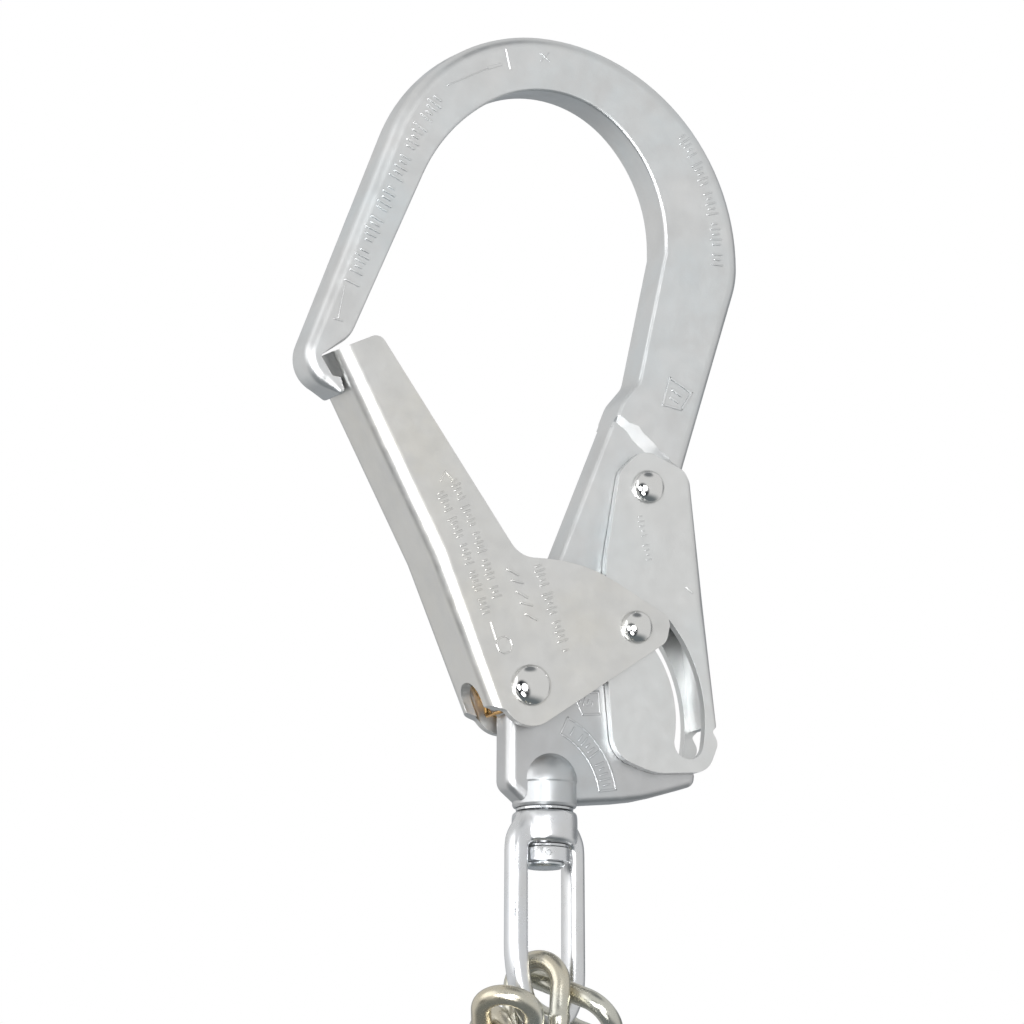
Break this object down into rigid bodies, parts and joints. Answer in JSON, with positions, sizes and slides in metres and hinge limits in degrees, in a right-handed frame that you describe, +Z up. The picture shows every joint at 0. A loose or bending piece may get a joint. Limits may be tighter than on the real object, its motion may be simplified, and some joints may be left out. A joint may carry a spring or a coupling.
{
  "type": "large-opening snap hook with swivel eye and chain end",
  "caption": "Steel double-action snap hook with a wide bowl, a folded self-closing gate, a lock lever behind it, a swivel eye and the first links of its chain.",
  "frame": {"origin": "inner top of the bowl, on the load line, where the anchor bears", "axes": "+Z up along the load line from the eye to the bowl, the hook flat in the XZ plane with its front face towards -Y, +X towards the spine and the lock lever"},
  "size_m": [0.1268, 0.0426, 0.2921],
  "materials": {
    "zinc_forging": "bright zinc plate over a drop-forged skin",
    "zinc_sheet": "bright zinc plate over pressed sheet",
    "bright_rivet": "polished domed head",
    "bush_steel": "turned",
    "spring_brass": "drawn wire",
    "spring_steel": "drawn wire",
    "zinc_eye": "bright zinc plate, smooth",
    "stud_steel": "turned and plated",
    "zinc_nut": "turned and plated",
    "chromate_link": "yellow chromate over zinc"
  },
  "bodies": {
    "hook": {"hook_body": "zinc_forging", "gate_bush": "bush_steel", "lever_bush": "bush_steel", "gate_spring": "spring_brass", "lever_spring": "spring_steel", "swivel_stud": "stud_steel", "swivel_nut": "zinc_nut", "thrust_washer": "stud_steel", "nut_washer": "stud_steel", "nut_pin": "stud_steel"},
    "gate": {"gate": "zinc_sheet", "gate_rivet": "bright_rivet", "lock_rivet": "bright_rivet", "lock_sleeve": "bush_steel"},
    "lever": {"lock_lever": "zinc_sheet", "lever_rivet": "bright_rivet"},
    "eye": {"swivel_eye": "zinc_eye"},
    "link_1": {"chain_link_1": "chromate_link"},
    "link_2": {"chain_link_2": "chromate_link"},
    "link_3": {"chain_link_3": "chromate_link"},
    "link_4": {"chain_link_4": "chromate_link"}
  },
  "joints": [
    {"name": "gate_hinge", "type": "hinge", "parent": "hook", "child": "gate", "pos_m": [-0.0086, 0, -0.1615], "axis": [0, 1, 0], "range_deg": [0, 47], "stiffness_Nm_per_rad": 0.25, "springref_deg": -34.38, "deforming": ["gate_spring"]},
    {"name": "lever_hinge", "type": "hinge", "parent": "hook", "child": "lever", "pos_m": [0.0271, 0, -0.1054], "axis": [0, 1, 0], "range_deg": [0, 12], "stiffness_Nm_per_rad": 0.25, "springref_deg": -28.65, "deforming": ["lever_spring"]},
    {"name": "eye_swivel", "type": "hinge", "parent": "hook", "child": "eye", "pos_m": [0, 0, -0.1979], "axis": [0, 0, 1], "continuous": true},
    {"name": "link_1_play", "type": "hinge", "parent": "eye", "child": "link_1", "pos_m": [-0.0058, -0.002, -0.2466], "axis": [0.5289, 0.182, -0.8289], "range_deg": [-1, 3]},
    {"name": "link_2_play", "type": "hinge", "parent": "eye", "child": "link_2", "pos_m": [0.0074, 0.0025, -0.2459], "axis": [0.5581, 0.1921, 0.8072], "range_deg": [-2, 6]},
    {"name": "link_3_play", "type": "hinge", "parent": "link_1", "child": "link_3", "pos_m": [-0.0074, 0.0024, -0.2613], "axis": [0.3439, -0.5349, -0.7718], "range_deg": [0, 3]},
    {"name": "link_4_play", "type": "hinge", "parent": "link_3", "child": "link_4", "pos_m": [-0.0133, 0.0093, -0.2577], "axis": [0.563, 0.623, -0.543], "range_deg": [0, 4]}
  ],
  "couplings": [
    {"joint": "lever_hinge", "follows": "gate_hinge", "ratio": 0.255}
  ]
}
